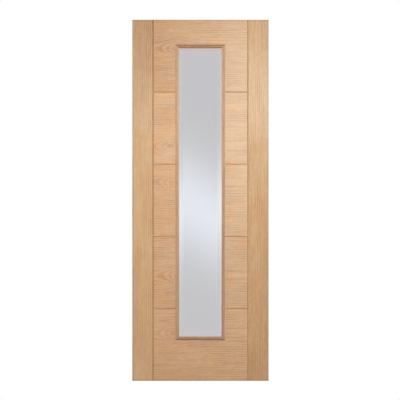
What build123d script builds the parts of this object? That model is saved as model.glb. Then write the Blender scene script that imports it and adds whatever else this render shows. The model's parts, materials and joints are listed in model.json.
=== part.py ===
from build123d import *
import os

# A glazed interior door leaf: a timber core faced with oak veneered boards, V-grooved into two
# stiles and five rows of panels, with a tall bevelled pane held by mitred beads on both sides.
# Millimetres. X runs from the hinge edge to the lock edge, Y from the front to the back, Z up.
# The origin is on the flat of the hinge edge, at half the thickness and at the foot of the leaf.

# leaf
leaf_width = 770.0
leaf_height = 2040.0
leaf_thickness = 35.0
lipping_width = 8.0  # solid oak strip down each long edge
arris_radius = 1.0  # rounding of the lippings' long corners

# facings
facing_thickness = 5.0
stile_width = 117.5  # leaf edge to the middle of the upright groove
row_count = 5  # rows of panels, all of one height
groove_width = 8.0
groove_depth = 4.0

# opening for the glass
opening_width = 282.0
top_rail = 140.0
bottom_rail = 230.0

# pane
glass_thickness = 6.0
glass_clearance = 3.0  # pane edge to the side of the opening
bevel_width = 42.0  # on the front face, almost half of it under the bead
bevel_depth = 3.0

# seals between pane and beads
seal_thickness = 1.0  # on the flat of the pane
seal_setback = 2.0  # from the sight line, so that the bead hides it

# glazing beads
bead_width = 21.0  # side of the opening to the sight line
bead_proud = 5.0  # crest above the facings
bead_fit = 0.2  # bead to the side of the opening
crest_offset = 8.0  # side of the opening to the crest
shoulder_height = 1.0  # outer edge of the round above the facings
sight_height = 6.0  # upright edge of the bead at the sight line

cut_margin = 1.0  # how far a cutter runs past the surface it cuts

# places that several pieces share
half_leaf = leaf_thickness / 2
half_core = half_leaf - facing_thickness
half_glass = glass_thickness / 2
bead_seat = half_glass + seal_thickness
row_height = leaf_height / row_count
hinge_groove = stile_width
lock_groove = leaf_width - stile_width
opening_left = (leaf_width - opening_width) / 2
opening_right = opening_left + opening_width
opening_bottom = bottom_rail
opening_top = leaf_height - top_rail
opening_height = opening_top - opening_bottom
opening_middle = (opening_bottom + opening_top) / 2


def block(x0, x1, y0, y1, z0, z1):
    corner = Align.MIN, Align.MIN, Align.MIN
    return Pos(x0, y0, z0) * Box(x1 - x0, y1 - y0, z1 - z0, align=corner)


def opening_block(inset, y0, y1):
    return block(
        opening_left + inset, opening_right - inset,
        y0, y1,
        opening_bottom + inset, opening_top - inset,
    )


# A lipping's outer face is flat, and its two long outer corners are eased.
def lipping(inner_x, outer_x):
    strip = block(min(inner_x, outer_x), max(inner_x, outer_x), -half_leaf, half_leaf, 0, leaf_height)
    corners = strip.edges().filter_by(Axis.Z).filter_by_position(Axis.X, outer_x, outer_x)
    return fillet(corners, arris_radius)


def core_piece(x0, x1, z0, z1):
    return block(x0, x1, -half_core, half_core, z0, z1)


# The V that is taken from the front of two boards along the line where they meet, standing upright.
def groove_cutter():
    depth = groove_depth + cut_margin
    half_width = groove_width / 2 * depth / groove_depth
    face = -half_leaf - cut_margin
    section = Polyline((-half_width, face), (half_width, face), (0, face + depth), close=True)
    return extrude(make_face(section), leaf_height / 2 + cut_margin, both=True)


def upright_groove(x):
    return Pos(x, 0, leaf_height / 2) * groove_cutter()


def cross_groove(z):
    return Pos(leaf_width / 2, 0, z) * Rot(0, 90, 0) * groove_cutter()


def front_board(x0, x1, z0, z1):
    return block(x0, x1, -half_leaf, -half_core, z0, z1)


def stile_facing(x0, x1, groove_x):
    return front_board(x0, x1, 0, leaf_height) - upright_groove(groove_x)


# One row's sheet between two upright lines, grooved wherever it meets another board.
def panel_facing(x0, x1, row):
    sheet = front_board(x0, x1, row * row_height, (row + 1) * row_height)
    for groove_x in (hinge_groove, lock_groove):
        if groove_x in (x0, x1):
            sheet -= upright_groove(groove_x)
    for seam in (row, row + 1):
        if 0 < seam < row_count:
            sheet -= cross_groove(seam * row_height)
    return sheet


def cut_out_facing(row):
    hole = opening_block(0, -half_leaf - cut_margin, 0)
    return panel_facing(hinge_groove, lock_groove, row) - hole


# The bead's section stands on the foot of the opening and grows up to the sight line. Two arcs
# meet level at the crest: one falls outwards to the facings and the other inwards to the glass.
def bead_section():
    crest = (-half_leaf - bead_proud, crest_offset)
    shoulder = (-half_leaf - shoulder_height, bead_fit)
    sight = (-bead_seat - sight_height, bead_width)
    outline = [
        TangentArc(crest, shoulder, tangent=(0, -1)),
        TangentArc(crest, sight, tangent=(0, 1)),
        Polyline(shoulder, (-bead_seat, bead_fit), (-bead_seat, bead_width), sight),
    ]
    return Plane.YZ * make_face(outline)


# A straight bead with its ends mitred to 45 degrees.
def bead(side_length):
    half = side_length / 2
    bar = extrude(bead_section(), half, both=True)
    plan = Polyline(
        (-half + bead_fit, bead_fit),
        (half - bead_fit, bead_fit),
        (half - bead_width, bead_width),
        (-half + bead_width, bead_width),
        close=True,
    )
    mitres = extrude(Plane.XZ * make_face(plan), leaf_thickness)
    return bar & mitres


def bead_ring():
    middle = leaf_width / 2
    return {
        "bottom_bead": Location((middle, 0, opening_bottom)) * bead(opening_width),
        "top_bead": Location((middle, 0, opening_top), (0, 180, 0)) * bead(opening_width),
        "hinge_side_bead": Location((opening_left, 0, opening_middle), (0, 90, 0)) * bead(opening_height),
        "lock_side_bead": Location((opening_right, 0, opening_middle), (0, -90, 0)) * bead(opening_height),
    }


# The bevel is ground on the front only and runs from the pane's edge to well inside the sight line.
def glass_pane():
    sheet = opening_block(glass_clearance, -half_glass, half_glass)
    front = sheet.faces().sort_by(Axis.Y)[0]
    return chamfer(front.edges(), length=bevel_width, length2=bevel_depth, reference=front)


# A seal is a flat ring, and the one on the front is a wedge that takes up the slope of the bevel.
# Both reach the side of the opening, so that no light passes round the pane behind the beads.
def seal(y0, y1):
    ring = opening_block(0, y0, y1)
    return ring - opening_block(bead_width - seal_setback, y0 - cut_margin, y1 + cut_margin)


def edges_and_core():
    return {
        "hinge_edge_lipping": lipping(lipping_width, 0),
        "lock_edge_lipping": lipping(leaf_width - lipping_width, leaf_width),
        "hinge_stile_core": core_piece(lipping_width, stile_width, 0, leaf_height),
        "lock_stile_core": core_piece(lock_groove, leaf_width - lipping_width, 0, leaf_height),
        "top_rail_core": core_piece(hinge_groove, lock_groove, opening_top, leaf_height),
        "bottom_rail_core": core_piece(hinge_groove, lock_groove, 0, opening_bottom),
        "hinge_side_core": core_piece(hinge_groove, opening_left, opening_bottom, opening_top),
        "lock_side_core": core_piece(opening_right, lock_groove, opening_bottom, opening_top),
    }


def facings():
    boards = {
        "hinge_stile_facing": stile_facing(lipping_width, hinge_groove, hinge_groove),
        "lock_stile_facing": stile_facing(lock_groove, leaf_width - lipping_width, lock_groove),
        "bottom_panel_facing": cut_out_facing(0),
        "top_panel_facing": cut_out_facing(row_count - 1),
    }
    for row in range(1, row_count - 1):
        boards[f"hinge_panel_facing_{row + 1}"] = panel_facing(hinge_groove, opening_left, row)
        boards[f"lock_panel_facing_{row + 1}"] = panel_facing(opening_right, lock_groove, row)
    return boards


def glazing():
    pane = glass_pane()
    return {
        "glass_pane": pane,
        "front_glazing_seal": seal(-bead_seat, 0) - pane,
        "back_glazing_seal": seal(half_glass, bead_seat),
    }


# Facings and beads are the same on both sides of the leaf.
def both_sides(pieces):
    nodes = {}
    for name, piece in pieces.items():
        nodes[f"front_{name}"] = piece
        nodes[f"back_{name}"] = mirror(piece, about=Plane.XZ)
    return nodes


nodes = {
    **edges_and_core(),
    **both_sides(facings()),
    **both_sides(bead_ring()),
    **glazing(),
}

os.makedirs("parts", exist_ok=True)
for name, piece in nodes.items():
    export_step(piece, f"parts/{name}.step")
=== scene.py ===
import bpy
import json
from math import cos, exp, pi, radians
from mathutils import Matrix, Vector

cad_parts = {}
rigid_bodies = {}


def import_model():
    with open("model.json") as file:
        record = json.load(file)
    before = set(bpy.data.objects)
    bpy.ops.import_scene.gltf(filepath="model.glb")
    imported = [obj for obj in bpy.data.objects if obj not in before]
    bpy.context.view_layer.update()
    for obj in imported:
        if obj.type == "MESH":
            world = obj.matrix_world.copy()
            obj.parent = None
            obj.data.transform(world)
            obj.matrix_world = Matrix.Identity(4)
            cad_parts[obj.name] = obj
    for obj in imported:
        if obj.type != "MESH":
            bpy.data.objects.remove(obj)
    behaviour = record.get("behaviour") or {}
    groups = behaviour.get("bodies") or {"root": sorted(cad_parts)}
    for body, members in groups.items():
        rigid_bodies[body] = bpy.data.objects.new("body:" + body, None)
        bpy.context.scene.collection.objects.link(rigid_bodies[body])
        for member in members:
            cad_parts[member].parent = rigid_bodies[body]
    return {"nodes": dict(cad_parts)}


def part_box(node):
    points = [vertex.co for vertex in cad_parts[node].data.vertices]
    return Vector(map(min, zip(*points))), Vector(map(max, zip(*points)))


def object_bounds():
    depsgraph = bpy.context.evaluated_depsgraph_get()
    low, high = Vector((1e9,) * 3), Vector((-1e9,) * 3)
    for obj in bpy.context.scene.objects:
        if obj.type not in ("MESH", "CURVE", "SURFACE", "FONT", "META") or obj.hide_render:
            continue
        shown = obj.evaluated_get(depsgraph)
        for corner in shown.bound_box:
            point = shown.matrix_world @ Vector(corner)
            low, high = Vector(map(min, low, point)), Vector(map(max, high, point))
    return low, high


# A glazed oak door leaf in a plain studio, dressed over the loaded frame.
# Blender works in metres, and mm turns a size in millimetres into them.

mm = 0.001

for thing in list(bpy.data.objects):  # the default cube would count as a piece
    bpy.data.objects.remove(thing, do_unlink=True)

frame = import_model()
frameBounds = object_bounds()
nodes = frame["nodes"]
leafWidth, leafHeight = frameBounds[1].x, frameBounds[1].z
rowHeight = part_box("front_hinge_panel_facing_2")[0].z  # the second row stands on the first
faceLevel = -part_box("front_hinge_stile_facing")[0].y  # from mid-thickness to either face
print("frame loaded:", len(nodes), "nodes")


# Small tools

def linear(hexColour):
    channels = [int(hexColour[i:i + 2], 16) / 255 for i in (1, 3, 5)]
    return tuple(c / 12.92 if c <= 0.04045 else ((c + 0.055) / 1.055) ** 2.4 for c in channels) + (1.0,)


# Adds a node. Its inputs are nodes, sockets or plain values, in order or by name.
# On a Mix node, 6 and 7 are the two colours, and the mixed colour comes out at 2.
def addNode(tree, kind, inputs=(), **settings):
    node = tree.nodes.new("ShaderNode" + kind)
    for name, value in settings.items():
        setattr(node, name, value)
    for key, value in inputs.items() if isinstance(inputs, dict) else enumerate(inputs):
        if isinstance(value, bpy.types.Node):
            value = value.outputs[0]
        if isinstance(value, bpy.types.NodeSocket):
            tree.links.new(value, node.inputs[key])
        else:
            node.inputs[key].default_value = value
    return node


def newMaterial(name, shaderValues):
    material = bpy.data.materials.new(name)
    material.use_nodes = True
    tree = material.node_tree
    shader = tree.nodes["Principled BSDF"]
    for socket, value in shaderValues.items():
        shader.inputs[socket].default_value = value
    return material, tree, shader


def dress(nodeNames, material):
    for name in nodeNames:
        for slot in nodes[name].material_slots:
            slot.material = material


# Oak. Crown-cut European oak under a satin clear lacquer: a pale honey wood with soft cathedral arches
# where the knife passed near the heart of the log, and close straight lines on either side of them.
# The lacquer leaves a broad, dull gloss that the fibres spread across the grain.

oakLook = {
    "roughness": 0.36,
    "ior": 1.5,
    "fibreGloss": 0.6,

    # colours, from the pale wood and the warmer patches in it to the dark lines of the rings
    "pale": "#D9B68F",
    "blush": "#E0B486",
    "blushDrift": 0.40,  # fewer of the warm patches towards the far end of the grain
    "patchLength": 135 * mm,
    "patchWidth": 90 * mm,
    "patchSoftness": 0.1,
    "dark": "#A26F48",
    "baseDarkness": 0.38,  # how far from pale to dark the wood is on average
    "tone": 0.0,
    "drift": 0.0,
    "endTone": 0.0,
    "endReach": 780 * mm,

    # growth rings
    "ringSpacing": 12 * mm,  # real growth rings are about 3 mm apart: drawn four times as coarse to show
    "ringStrength": 0.32,
    "fineRingSpacing": 3.2 * mm,
    "fineRingStrength": 0.10,
    "ringProfile": ((0.22, 0.55), (0.60, 0.0), (0.88, 0.25)),  # place in a ring and darkness, 1 at its ends
    "ringMean": 0.4,
    "ringWander": 10 * mm,
    "wanderLength": 400 * mm,
    "wanderWidth": 90 * mm,
    "archDepth": 46 * mm,  # the cut is this far from the heart of the log at the ends of a sheet
    "archLength": 68 * mm,
    "boldness": 0.95,  # of the rings at the heart, 1 being the boldest of those on either side
    "boldWidth": 80 * mm,
    "faintest": 0.1,
    "faintBelow": 0.38,  # the noise level below which they are faintest
    "clearAbove": 0.58,

    # streaks, flecks, pores and clouds, each a noise drawn out along the grain
    "noiseRoughness": 0.6,
    "noiseMean": 0.5,
    "streakLength": 240 * mm,
    "streakWidth": 7 * mm,  # groups of fibres, drawn wide enough to show
    "streakStrength": 0.60,
    "fleckLength": 32 * mm,
    "fleckWidth": 5 * mm,  # ray flecks are 1 mm wide: drawn five times as wide to show
    "fleckStrength": 0.38,
    "poreLength": 9 * mm,
    "poreWidth": 0.9 * mm,  # real pores are 0.3 mm wide: drawn three times as wide to show close up
    "poreAbove": 0.56,  # the noise level at which a pore starts
    "poreFullAbove": 0.72,
    "poreMean": 0.1,
    "poreStrength": 0.35,
    "poreRelief": 0.05 * mm,
    "cloudLength": 198 * mm,
    "cloudWidth": 90 * mm,
    "cloudStrength": 0.44,

    # edges and grooves
    "edgeBand": 11 * mm,  # along the top and the foot, which are drawn a little darker
    "edgeShade": 0.55,
    "paintedEdgeLight": [],  # painted highlight and shade along edges: where across the grain, how pale at its start and far end, how wide
    "veneer": 0.7 * mm,
    "grooveBoardAndShade": "#D6B288",  # the board under the veneer, which the grooves cut into, its colour also painted light and shade in the grooves
    "groundShare": 0.30,  # of that colour at the root of a groove: painted light and shade that set how dark the groove looks
    "grooveDepth": 4 * mm,
    "joint": "#6E4C32",  # the fine dark line where two boards meet at the root
    "jointWidth": 1.2 * mm,
    "jointShade": 0.45,
    "jointStop": 1 * mm,  # short of the top and the foot
}
seedShift = (1.0, 0.37, 1.0)  # the way that a cut's seed moves it through the noise


# One cut of oak. grain is the axis it runs along, heart and tip are where the arches close across and
# along the grain, tone makes it darker (above 0) or paler, drift does so along the grain, from the foot or
# the hinge edge to the far end, and endTone does so over the last stretch before that end.
def oak(name, cut):
    look = {**oakLook, **cut}
    material, tree, shader = newMaterial(name, {
        "Roughness": look["roughness"],
        "IOR": look["ior"],
        "Anisotropic": look["fibreGloss"],
    })
    along, across = ("X", "Z") if look["grain"] == "X" else ("Z", "X")
    crossGrain = addNode(tree, "Tangent", direction_type="RADIAL", axis=along)  # runs across the fibres
    tree.links.new(crossGrain.outputs[0], shader.inputs["Tangent"])

    place = addNode(tree, "TexCoord").outputs["Object"]
    axes = addNode(tree, "SeparateXYZ", [place])
    shift = [look["seed"] * step for step in seedShift]
    moved = addNode(tree, "VectorMath", [place, shift], operation="ADD")

    # noise that is drawn out along the grain
    def drawnOut(length, width, detail):
        scale = [1 / width] * 3
        scale["XYZ".index(along)] = 1 / length
        scaled = addNode(tree, "VectorMath", [moved, scale], operation="MULTIPLY")
        return addNode(tree, "TexNoise", {"Vector": scaled, "Scale": 1.0, "Detail": detail,
                                          "Roughness": look["noiseRoughness"]})

    # distance from the heart of the log, which wanders slowly along its length
    fromHeart = addNode(tree, "Math", [axes.outputs[across], look["heart"]], operation="SUBTRACT")
    fromTip = addNode(tree, "Math", [axes.outputs[along], look["tip"]], operation="SUBTRACT")
    share = addNode(tree, "Math", [fromTip, look["archLength"]], operation="DIVIDE")
    arch = addNode(tree, "Math", [share], operation="TANH")
    cutDepth = addNode(tree, "Math", [arch, look["archDepth"]], operation="MULTIPLY")
    radial = addNode(tree, "CombineXYZ", [fromHeart, cutDepth, axes.outputs["Y"]])
    radius = addNode(tree, "VectorMath", [radial], operation="LENGTH").outputs["Value"]
    wander = drawnOut(look["wanderLength"], look["wanderWidth"], detail=2.0)
    wandered = addNode(tree, "Math", [wander, look["ringWander"], radius], operation="MULTIPLY_ADD")

    # each ring starts with a dark line of open pores and pales towards the next
    def rings(spacing):
        count = addNode(tree, "Math", [wandered, spacing], operation="DIVIDE")
        phase = addNode(tree, "Math", [count], operation="FRACT")
        ramp = addNode(tree, "ValToRGB", [phase])
        points = ramp.color_ramp.elements
        points[0].color = points[1].color = (1, 1, 1, 1)
        for position, level in look["ringProfile"]:
            points.new(position).color = (level, level, level, 1)
        return ramp

    streaks = drawnOut(look["streakLength"], look["streakWidth"], detail=3.0)
    flecks = drawnOut(look["fleckLength"], look["fleckWidth"], detail=1.0)
    clouds = drawnOut(look["cloudLength"], look["cloudWidth"], detail=2.0)
    poreNoise = drawnOut(look["poreLength"], look["poreWidth"], detail=1.0)
    pores = addNode(tree, "MapRange", [poreNoise, look["poreAbove"], look["poreFullAbove"], 0.0, 1.0])

    # the rings are boldest at the heart, and elsewhere they stand out in some parts and fade in others
    aside = addNode(tree, "Math", [fromHeart], operation="ABSOLUTE")
    bold = addNode(tree, "MapRange", [aside, 0.0, look["boldWidth"], look["boldness"], 0.0],
                   interpolation_type="SMOOTHSTEP")
    clarity = addNode(tree, "MapRange", [clouds, look["faintBelow"], look["clearAbove"],
                                         look["faintest"], 1.0])
    contrast = addNode(tree, "Math", [clarity, bold], operation="MAXIMUM")
    broad = addNode(tree, "Math", [rings(look["ringSpacing"]), look["ringMean"]], operation="SUBTRACT")
    darkness = addNode(tree, "Math", [broad, contrast], operation="MULTIPLY")
    darkness = addNode(tree, "Math", [darkness, look["ringStrength"], look["baseDarkness"] + look["tone"]],
                       operation="MULTIPLY_ADD")

    # the other patterns are added to that, each about its own mean
    grainLength = leafWidth if along == "X" else leafHeight
    farEnd = addNode(tree, "MapRange", [axes.outputs[along], grainLength - look["endReach"], grainLength,
                                        0.0, 1.0], interpolation_type="SMOOTHSTEP")
    patterns = [
        (axes.outputs[along], look["drift"] / grainLength, 0.0),
        (farEnd, look["endTone"], 0.0),
        (rings(look["fineRingSpacing"]), look["fineRingStrength"], look["ringMean"]),
        (streaks, look["streakStrength"], look["noiseMean"]),
        (flecks, look["fleckStrength"], look["noiseMean"]),
        (clouds, look["cloudStrength"], look["noiseMean"]),
        (pores, look["poreStrength"], look["poreMean"]),
    ]
    # painted highlight and shade along each listed edge: paler above 0 and darker below
    for line, startLight, endLight, width in look["paintedEdgeLight"]:
        away = addNode(tree, "Math", [axes.outputs[across], line], operation="SUBTRACT")
        away = addNode(tree, "Math", [away], operation="ABSOLUTE")
        near = addNode(tree, "MapRange", [away, 0.0, width, 1.0, 0.0])
        paintedLight = addNode(tree, "MapRange", [axes.outputs[along], 0.0, grainLength, startLight, endLight])
        patterns.append((addNode(tree, "Math", [near, paintedLight], operation="MULTIPLY"), -1.0, 0.0))
    for pattern, strength, mean in patterns:
        centred = addNode(tree, "Math", [pattern, mean], operation="SUBTRACT")
        darkness = addNode(tree, "Math", [centred, strength, darkness], operation="MULTIPLY_ADD")

    patches = drawnOut(look["patchLength"], look["patchWidth"], detail=1.0)
    patches = addNode(tree, "Math", [axes.outputs[along], -look["blushDrift"] / grainLength, patches],
                      operation="MULTIPLY_ADD")
    middle = look["noiseMean"] - look["blushDrift"] / 2
    blush = addNode(tree, "MapRange", [patches, middle - look["patchSoftness"],
                                       middle + look["patchSoftness"], 0.0, 1.0])
    paleWood = addNode(tree, "Mix", {"Factor": blush, 6: linear(look["pale"]), 7: linear(look["blush"])},
                       data_type="RGBA").outputs[2]
    wood = addNode(tree, "Mix", {"Factor": darkness, 6: paleWood, 7: linear(look["dark"])},
                   data_type="RGBA").outputs[2]

    # the top and the foot are a little darker
    toTop = addNode(tree, "Math", [leafHeight, axes.outputs["Z"]], operation="SUBTRACT")
    toEnd = addNode(tree, "Math", [toTop, axes.outputs["Z"]], operation="MINIMUM")
    shade = addNode(tree, "MapRange", [toEnd, 0.0, look["edgeBand"], look["edgeShade"], 0.0],
                    interpolation_type="SMOOTHSTEP")
    wood = addNode(tree, "Mix", {"Factor": shade, 6: wood, 7: linear(look["dark"])},
                   data_type="RGBA").outputs[2]

    if look["veneer"]:  # under the veneer there is board, whose colour in the grooves is also painted light and shade
        root = faceLevel - look["grooveDepth"]
        depth = addNode(tree, "Math", [axes.outputs["Y"]], operation="ABSOLUTE")
        boardAndShade = addNode(tree, "MapRange", [depth, faceLevel - look["veneer"], root,
                                          0.0, look["groundShare"]])
        wood = addNode(tree, "Mix", {"Factor": boardAndShade, 6: wood, 7: linear(look["grooveBoardAndShade"])},
                       data_type="RGBA").outputs[2]
        inJoint = addNode(tree, "MapRange", [depth, root, root + look["jointWidth"] / 2,
                                             look["jointShade"], 0.0])
        clearOfEnds = addNode(tree, "Math", [toEnd, look["jointStop"]], operation="GREATER_THAN")
        inJoint = addNode(tree, "Math", [inJoint, clearOfEnds], operation="MULTIPLY")
        wood = addNode(tree, "Mix", {"Factor": inJoint, 6: wood, 7: linear(look["joint"])},
                       data_type="RGBA").outputs[2]
    tree.links.new(wood, shader.inputs["Base Color"])

    relief = addNode(tree, "Bump", {"Height": pores, "Distance": look["poreRelief"]}, invert=True)
    tree.links.new(relief.outputs[0], shader.inputs["Normal"])
    return material


# The stiles: straight upright grain, cut well away from the heart. The groove beside the hinge stile has
# painted shade, and the one beside the lock stile painted light. heart and tip are in metres.

stileOak = {
    "grain": "Z",
    "dark": "#A07047",
    "blushDrift": 0.25,
    "ringStrength": 0.30,
    "ringWander": 5 * mm,
    "cloudStrength": 0.35,
}
stileCuts = {
    "hinge_stile_facing": {"heart": -0.30, "tip": 0.2, "seed": 4.0, "pale": "#DCB98B", "blush": "#DCB282",
                           "tone": -0.02, "drift": 0.10, "endTone": 0.25,
                           "grooveBoardAndShade": "#8E6A47", "groundShare": 0.95},
    "lock_stile_facing": {"heart": 1.10, "tip": 1.6, "seed": 9.0, "pale": "#DCB788", "blush": "#DCB07F",
                          "tone": 0.16, "drift": -0.10,
                          "grooveBoardAndShade": "#EBCDA6", "groundShare": 0.35},
}
for node, cut in stileCuts.items():
    veneer = oak("lacquered oak veneer, " + node.replace("_", " "), {**stileOak, **cut})
    dress(["front_" + node, "back_" + node], veneer)

# The rows, from the foot up. Each is one sheet that runs across both sides of the glass.
# heart is a share of the row's height, and tip is measured from the hinge edge.

rowCuts = [
    {"heart": 0.66, "tip": 0.235, "seed": 1.0, "tone": 0.03, "drift": -0.06, "pale": "#DEB58C",
     "jointShade": 0.2},
    {"heart": 0.46, "tip": 0.255, "seed": 2.0, "tone": 0.07, "drift": -0.10, "blushDrift": 0.25,
     "jointShade": 0.2},
    {"heart": 0.75, "tip": 0.225, "seed": 3.0, "tone": 0.05, "drift": -0.13, "boldness": 0.5},
    {"heart": 0.25, "tip": 0.215, "seed": 5.0, "tone": -0.06, "drift": 0.06, "boldness": 0.65},
    {"heart": 0.60, "tip": 0.245, "seed": 6.0, "tone": 0.19, "drift": -0.24, "boldness": 0.7},
]
roundTheGlass = {0: "bottom_panel_facing", len(rowCuts) - 1: "top_panel_facing"}  # cut out in a U
for row, cut in enumerate(rowCuts):
    heart = (row + cut["heart"]) * rowHeight
    veneer = oak(f"lacquered oak veneer, row {row + 1}", {**cut, "grain": "X", "heart": heart})
    beside = [f"hinge_panel_facing_{row + 1}", f"lock_panel_facing_{row + 1}"]
    for piece in [roundTheGlass[row]] if row in roundTheGlass else beside:
        dress(["front_" + piece, "back_" + piece], veneer)
print("veneer: 2 stiles and", len(rowCuts), "rows")

# Solid oak for the beads and lippings: planed straight-grained stock, with closer rings than the veneer.
# The beads' edges carry painted highlight and shade: the outer setting makes the outer edge paler (above 0)
# or darker, the sight setting does so at the edge by the glass, and the top setting at the top of that edge
# on an upright bead.

solidOak = {
    "heart": -0.9,
    "tip": 0.0,
    "veneer": 0.0,
    "ringSpacing": 5 * mm,
    "ringWander": 6 * mm,
    "cloudStrength": 0.3,
}
# The beads' tones and dark colours are painted shade: all darker than the veneer, the level beads most, the
# upright ones greyer.
levelBead = {"grain": "X", "blush": "#D2A070"}
uprightBead = {"grain": "Z", "pale": "#D9B799", "blush": "#D9B799"}
beadCuts = {
    "top_bead": {**levelBead, "seed": 11.0, "pale": "#D2A070", "dark": "#8A6038", "tone": 0.46,
                 "outerEdgeLight": 0.9, "sightEdgeLight": 0.0},
    "bottom_bead": {**levelBead, "seed": 12.0, "pale": "#D0A983", "dark": "#84603F", "tone": 0.37,
                    "outerEdgeLight": 0.0, "sightEdgeLight": 1.1},
    "hinge_side_bead": {**uprightBead, "seed": 13.0, "dark": "#966F50", "tone": 0.26, "drift": -0.04,
                        "outerEdgeLight": 0.3, "sightEdgeLight": -0.3, "topEdgeLight": 1.5},
    "lock_side_bead": {**uprightBead, "seed": 14.0, "dark": "#7A5A45", "tone": 0.22, "drift": -0.05,
                       "outerEdgeLight": 0.6, "sightEdgeLight": -0.6, "topEdgeLight": 1.4},
}
# widths of the painted highlight and shade at the outer edge and at the edge by the glass
beadEdgeLight = {"outerWidth": 4 * mm, "sightWidth": 7 * mm}
for node, cut in beadCuts.items():
    outer, sight = [corner.x if cut["grain"] == "Z" else corner.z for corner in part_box("front_" + node)]
    if node in ("top_bead", "lock_side_bead"):
        outer, sight = sight, outer  # their outer edge is at the box's high corner
    paintedEdgeLight = [(outer, cut["outerEdgeLight"], cut["outerEdgeLight"], beadEdgeLight["outerWidth"]),
              (sight, cut["sightEdgeLight"], cut.get("topEdgeLight", cut["sightEdgeLight"]), beadEdgeLight["sightWidth"])]
    beadOak = oak("lacquered solid oak, " + node.replace("_", " "), {**solidOak, **cut, "paintedEdgeLight": paintedEdgeLight})
    dress(["front_" + node, "back_" + node], beadOak)

lippingCut = {"grain": "Z", "seed": 17.0, "tone": 0.22, "pale": "#D5B896", "blush": "#D5B896",
              "dark": "#917356"}
lippingOak = oak("lacquered solid oak, lippings", {**solidOak, **lippingCut})
dress(["hinge_edge_lipping", "lock_edge_lipping"], lippingOak)
print("solid oak: beads and lippings")

# Core. Glued softwood blocks, sawn off at the top and foot: pale and matt, with the curved end grain of
# each lamella, heart side to the front and to the back in turn, and thin dark glue lines between them.

coreLook = {
    "roughness": 0.75,
    "ior": 1.45,
    "pale": "#DFC69D",
    "dark": "#B18D5E",
    "glue": "#8C7350",
    "lamella": 26 * mm,
    "glueLine": 0.4 * mm,
    "ringSpacing": 3 * mm,
    "ringWander": 5 * mm,
    "pith": 34 * mm,  # from mid-thickness to the middle of the rings
    "sawRelief": 0.1 * mm,
}


def softwoodCore(look):
    material, tree, shader = newMaterial("glued softwood core", {
        "Roughness": look["roughness"],
        "IOR": look["ior"],
    })
    place = addNode(tree, "TexCoord").outputs["Object"]
    axes = addNode(tree, "SeparateXYZ", [place])
    count = addNode(tree, "Math", [axes.outputs["X"], look["lamella"]], operation="DIVIDE")
    lamella = addNode(tree, "Math", [count], operation="FLOOR")
    within = addNode(tree, "Math", [count], operation="FRACT")
    aside = addNode(tree, "Math", [within, look["lamella"], -look["lamella"] / 2], operation="MULTIPLY_ADD")
    turned = addNode(tree, "Math", [lamella, 2.0], operation="FLOORED_MODULO")  # every second lamella
    pith = addNode(tree, "Math", [turned, 2 * look["pith"], -look["pith"]], operation="MULTIPLY_ADD")
    depth = addNode(tree, "Math", [axes.outputs["Y"], pith], operation="SUBTRACT")
    radial = addNode(tree, "CombineXYZ", [aside, depth, 0.0])
    radius = addNode(tree, "VectorMath", [radial], operation="LENGTH").outputs["Value"]
    wander = addNode(tree, "TexNoise", {"Vector": place, "Scale": 1 / look["lamella"], "Detail": 1.0})
    wandered = addNode(tree, "Math", [wander, look["ringWander"], radius], operation="MULTIPLY_ADD")
    ring = addNode(tree, "Math", [wandered, look["ringSpacing"]], operation="DIVIDE")
    phase = addNode(tree, "Math", [ring], operation="FRACT")
    lateWood = addNode(tree, "Math", [phase, 2.0], operation="POWER")  # the dark end of each ring
    wood = addNode(tree, "Mix", {"Factor": lateWood, 6: linear(look["pale"]), 7: linear(look["dark"])},
                   data_type="RGBA").outputs[2]
    line = addNode(tree, "Math", [within, look["glueLine"] / look["lamella"]], operation="LESS_THAN")
    glued = addNode(tree, "Mix", {"Factor": line, 6: wood, 7: linear(look["glue"])}, data_type="RGBA")
    tree.links.new(glued.outputs[2], shader.inputs["Base Color"])
    relief = addNode(tree, "Bump", {"Height": lateWood, "Distance": look["sawRelief"]})
    tree.links.new(relief.outputs[0], shader.inputs["Normal"])
    return material


dress([name for name in nodes if name.endswith("_core")], softwoodCore(coreLook))
print("core: softwood")

# Seals. Extruded brown EPDM rubber: matt, with a faint worn mottle and no clear gloss.

sealLook = {
    "roughness": 0.7,
    "ior": 1.5,
    "colour": "#4A3B30",
    "worn": "#5C4B3E",
    "mottle": 6 * mm,
    "relief": 0.05 * mm,
}


def glazingRubber(look):
    material, tree, shader = newMaterial("extruded EPDM rubber", {
        "Roughness": look["roughness"],
        "IOR": look["ior"],
    })
    place = addNode(tree, "TexCoord").outputs["Object"]
    mottle = addNode(tree, "TexNoise", {"Vector": place, "Scale": 1 / look["mottle"], "Detail": 3.0})
    colour = addNode(tree, "Mix", {"Factor": mottle, 6: linear(look["colour"]), 7: linear(look["worn"])},
                     data_type="RGBA")
    tree.links.new(colour.outputs[2], shader.inputs["Base Color"])
    relief = addNode(tree, "Bump", {"Height": mottle, "Distance": look["relief"]})
    tree.links.new(relief.outputs[0], shader.inputs["Normal"])
    return material


dress(["front_glazing_seal", "back_glazing_seal"], glazingRubber(sealLook))
print("seals: rubber")

# Glass. Polished float glass with a ground bevel, lightly grey: clear and sharp, so it shows the white
# studio through it a good deal darker. A painted highlight marks where the bevel meets the flat. The two
# upright slopes have a painted bluish reflection about that line and a painted reflection of the warm wood
# beside the beads, the top slope has a painted warm reflection all over, and the foot slope only close to
# its bead.

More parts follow.
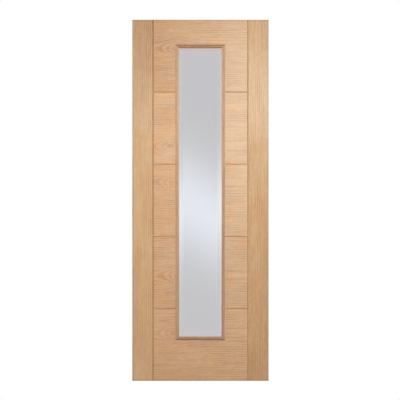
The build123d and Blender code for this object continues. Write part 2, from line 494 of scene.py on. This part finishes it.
glassLook = {
    "roughness": 0.0,
    "ior": 1.52,
    "tint": "#C1C1C3",
    "bluishReflection": "#BEC2C6",
    "arrisHighlight": "#C2C6CA",
    "woodReflection": "#CEC3BC",
    "topSlopeReflection": "#C6BDBA",
    "footReflection": "#C8C0BC",
    "bevelWidth": 42 * mm,
    "hiddenBevel": 18 * mm,  # behind the bead
    "arrisWidth": 2.5 * mm,  # a painted highlight; the real line is under 1 mm wide: drawn wider so that it shows
    "bluishReflectionFull": 3 * mm,  # this and the rest are distances from that line
    "bluishReflectionEnd": 9 * mm,
    "warmStart": 8 * mm,
    "warmFull": 16 * mm,
    "topFull": 8 * mm,
    "footStart": 19 * mm,
}


def floatGlass(look):
    material, tree, shader = newMaterial("polished float glass", {
        "Roughness": look["roughness"],
        "IOR": look["ior"],
        "Transmission Weight": 1.0,
    })
    low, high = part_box("glass_pane")
    middle = (low + high) / 2
    flat = [(high[i] - low[i]) / 2 - look["bevelWidth"] for i in range(3)]
    visibleBevel = look["bevelWidth"] - look["hiddenBevel"]
    place = addNode(tree, "TexCoord").outputs["Object"]
    offset = addNode(tree, "VectorMath", [place, middle], operation="SUBTRACT")
    away = addNode(tree, "VectorMath", [offset], operation="ABSOLUTE")
    past = addNode(tree, "SeparateXYZ", [addNode(tree, "VectorMath", [away, flat], operation="SUBTRACT")])
    outside = addNode(tree, "Math", [past.outputs["X"], past.outputs["Z"]], operation="MAXIMUM")
    fromArris = addNode(tree, "Math", [outside], operation="ABSOLUTE")
    onArris = addNode(tree, "Math", [fromArris, look["arrisWidth"] / 2], operation="LESS_THAN")
    inBluishReflection = addNode(tree, "MapRange", [fromArris, look["bluishReflectionFull"], look["bluishReflectionEnd"], 1.0, 0.0])
    nearBead = addNode(tree, "MapRange", [outside, look["warmStart"], look["warmFull"], 0.0, 1.0])
    onTopSlope = addNode(tree, "MapRange", [outside, 0.0, look["topFull"], 0.0, 1.0])
    atFoot = addNode(tree, "MapRange", [outside, look["footStart"], visibleBevel, 0.0, 1.0])

    # the four slopes are parted at their mitres, and each carries a painted reflection of another part of
    # the room
    height = addNode(tree, "SeparateXYZ", [offset]).outputs["Z"]
    upper = addNode(tree, "Math", [height, 0.0], operation="GREATER_THAN")
    onSide = addNode(tree, "Math", [past.outputs["X"], past.outputs["Z"]], operation="GREATER_THAN")
    onLevel = addNode(tree, "Math", [1.0, onSide], operation="SUBTRACT")
    onTop = addNode(tree, "Math", [onLevel, upper], operation="MULTIPLY")
    onFoot = addNode(tree, "Math", [onLevel, onTop], operation="SUBTRACT")
    colour = linear(look["tint"])
    # painted reflections and a painted highlight laid over the grey tint, one zone at a time
    for zone, share, slope in (
        ("bluishReflection", inBluishReflection, onSide),
        ("topSlopeReflection", onTopSlope, onTop),
        ("arrisHighlight", onArris, None),  # on all four slopes
        ("woodReflection", nearBead, onSide),
        ("footReflection", atFoot, onFoot),
    ):
        if slope:
            share = addNode(tree, "Math", [share, slope], operation="MULTIPLY")
        colour = addNode(tree, "Mix", {"Factor": share, 6: colour, 7: linear(look[zone])},
                         data_type="RGBA").outputs[2]
    tree.links.new(colour, shader.inputs["Base Color"])
    return material


pane = nodes["glass_pane"]
dress(["glass_pane"], floatGlass(glassLook))
pane.visible_shadow = False  # daylight passes through without a shadow of the pane
print("glass: one pane")

# Studio. A plain pale floor and a white surround, softboxes on the four sides of the leaf, a strip above
# it and a small key lamp at the upper right in front. The surround is white to the eye, in gloss and
# through the glass. It is dimmer where it lights the wood, so that the lamps model the beads and grooves.
# Places and sizes are in metres and angles in degrees. A lamp with a tilt of 90 faces level.

studio = {"fill": 0.20, "floor": "#FAFAF9", "floorRoughness": 0.9, "floorReach": 40.0}
lamps = {
    "front softbox": {"place": (0.385, -3.0, 1.15), "turn": 0, "size": 2.4, "watts": 60.0},
    "back softbox": {"place": (0.385, 3.0, 1.15), "turn": 180, "size": 2.4, "watts": 70.0, "inGloss": True},
    "hinge side softbox": {"place": (-2.6, 0.0, 1.15), "turn": -90, "size": 1.6, "watts": 40.0},
    "lock side softbox": {"place": (3.4, 0.0, 1.15), "turn": 90, "size": 1.6, "watts": 55.0},
    "key lamp": {"place": (0.68, -1.8, 1.60), "turn": 0, "size": 0.40, "watts": 9.8, "inGloss": True,
                 "colour": "#FAFCF7"},
    "overhead strip": {"place": (0.385, 0.0, 3.3), "tilt": 0, "turn": 0, "size": 1.2, "depth": 0.03,
                       "watts": 14.0, "topOnly": True},
}
floorLight = {"level": 0.85, "spread": 40, "tilt": 20}  # lights the floor alone, level 1 being full white

world = bpy.data.worlds.new("studio surround")
bpy.context.scene.world = world
world.use_nodes = True
surround = world.node_tree
surround.nodes.clear()
path = addNode(surround, "LightPath")
direct = addNode(surround, "Math", [path.outputs["Is Camera Ray"], path.outputs["Is Glossy Ray"]],
                 operation="MAXIMUM")
seen = addNode(surround, "Math", [direct, path.outputs["Is Transmission Ray"]], operation="MAXIMUM")
fill = addNode(surround, "Background", [(1, 1, 1, 1), studio["fill"]])
white = addNode(surround, "Background", [(1, 1, 1, 1), 1.0])
both = addNode(surround, "MixShader", [seen, fill, white])
addNode(surround, "OutputWorld", [both])

# The floor has matt paint, which shows the shadow of the leaf and no reflection.
bpy.ops.mesh.primitive_plane_add(size=studio["floorReach"])
floor = bpy.context.object
floor.name = "floor"
floor.data.materials.append(newMaterial("matt floor paint", {
    "Base Color": linear(studio["floor"]),
    "Roughness": studio["floorRoughness"],
})[0])
floor.visible_diffuse = False  # the wood is lit by the lamps and the surround alone

# The lamps light neither the pane, which would mirror them, nor the floor, which has a lamp of its own.
onWood = bpy.data.collections.new("not lit by the studio lamps")
for thing in (pane, floor):
    onWood.objects.link(thing)
for entry in onWood.collection_objects:
    entry.light_linking.link_state = "EXCLUDE"
onFloor = bpy.data.collections.new("lit by the floor lamp")
onFloor.objects.link(floor)

# The overhead strip lies in the plane of the leaf, so it reaches the top edge and not the two faces.
onTopEdge = bpy.data.collections.new("lit by the overhead strip")
for name, node in nodes.items():
    if "core" in name or "facing" in name or "lipping" in name:
        onTopEdge.objects.link(node)


def addLamp(name, lamp, receivers):
    holder = bpy.data.objects.new(name, lamp)
    holder.visible_camera = holder.visible_transmission = False
    holder.light_linking.receiver_collection = receivers
    bpy.context.scene.collection.objects.link(holder)
    return holder


for name, look in lamps.items():
    lamp = bpy.data.lights.new(name, "AREA")
    if "depth" in look:
        lamp.shape = "RECTANGLE"
        lamp.size_y = look["depth"]
    lamp.size = look["size"]
    lamp.energy = look["watts"]
    lamp.color = linear(look.get("colour", "#FFFFFF"))[:3]
    holder = addLamp(name, lamp, onTopEdge if look.get("topOnly") else onWood)
    holder.location = look["place"]
    holder.rotation_euler = (radians(look.get("tilt", 90)), 0, radians(look["turn"]))
    holder.visible_glossy = look.get("inGloss", False)

sun = bpy.data.lights.new("floor lamp", "SUN")
sun.energy = floorLight["level"] * pi / cos(radians(floorLight["tilt"]))
sun.angle = radians(floorLight["spread"])
addLamp("floor lamp", sun, onFloor).rotation_euler = (radians(floorLight["tilt"]), 0, 0)

# Backlight. The white surround behind the leaf is brightest at mid height, slightly blue. White stays
# white to the eye, so it only shows through the grey pane, as a soft bright band.

backlight = {
    "size": 3.0,
    "distance": 3.0,
    "middle": 0.965,
    "reach": 0.27,  # from the middle to where the band has faded to about a third
    "slope": -0.60,  # the band runs downhill to the right
    "strength": 0.58,
    "colour": "#E6F2FF",
}


def backlightCard(look):
    place = (leafWidth / 2, look["distance"], look["middle"])
    bpy.ops.mesh.primitive_plane_add(size=look["size"], location=place, rotation=(radians(90), 0, 0))
    card = bpy.context.object
    card.name = "backlight card"
    material = bpy.data.materials.new("softbox cloth")  # lit cloth: a soft glow with no edge
    material.use_nodes = True
    tree = material.node_tree
    tree.nodes.clear()
    place = addNode(tree, "TexCoord").outputs["Object"]
    axes = addNode(tree, "SeparateXYZ", [place])  # the card's own axes: X across and Y up
    height = addNode(tree, "Math", [axes.outputs["X"], -look["slope"], axes.outputs["Y"]],
                     operation="MULTIPLY_ADD")
    share = addNode(tree, "Math", [height, look["reach"]], operation="DIVIDE")
    square = addNode(tree, "Math", [share, share], operation="MULTIPLY")
    fade = addNode(tree, "Math", [exp(-1), square], operation="POWER")  # a bell curve
    level = addNode(tree, "Math", [fade, look["strength"]], operation="MULTIPLY")
    glow = addNode(tree, "Emission", [linear(look["colour"]), level])
    clear = addNode(tree, "BsdfTransparent")
    both = addNode(tree, "AddShader", [glow, clear])
    addNode(tree, "OutputMaterial", [both])
    card.data.materials.append(material)
    card.visible_camera = card.visible_diffuse = card.visible_glossy = card.visible_shadow = False


backlightCard(backlight)
print("studio: surround,", len(lamps) + 1, "lamps, floor and backlight")

# Camera. Square on to the leaf, and parallel, as if from so far away that no perspective is left.

cameraView = {"place": (0.3826, -5.0, 1.0218), "height": 2.26}
camera = bpy.data.cameras.new("camera")
camera.type = "ORTHO"
camera.ortho_scale = cameraView["height"]
cameraHolder = bpy.data.objects.new("camera", camera)
cameraHolder.location = cameraView["place"]
cameraHolder.rotation_euler = (radians(90), 0, 0)
bpy.context.scene.collection.objects.link(cameraHolder)
bpy.context.scene.camera = cameraHolder
bpy.context.scene.view_settings.view_transform = "Standard"
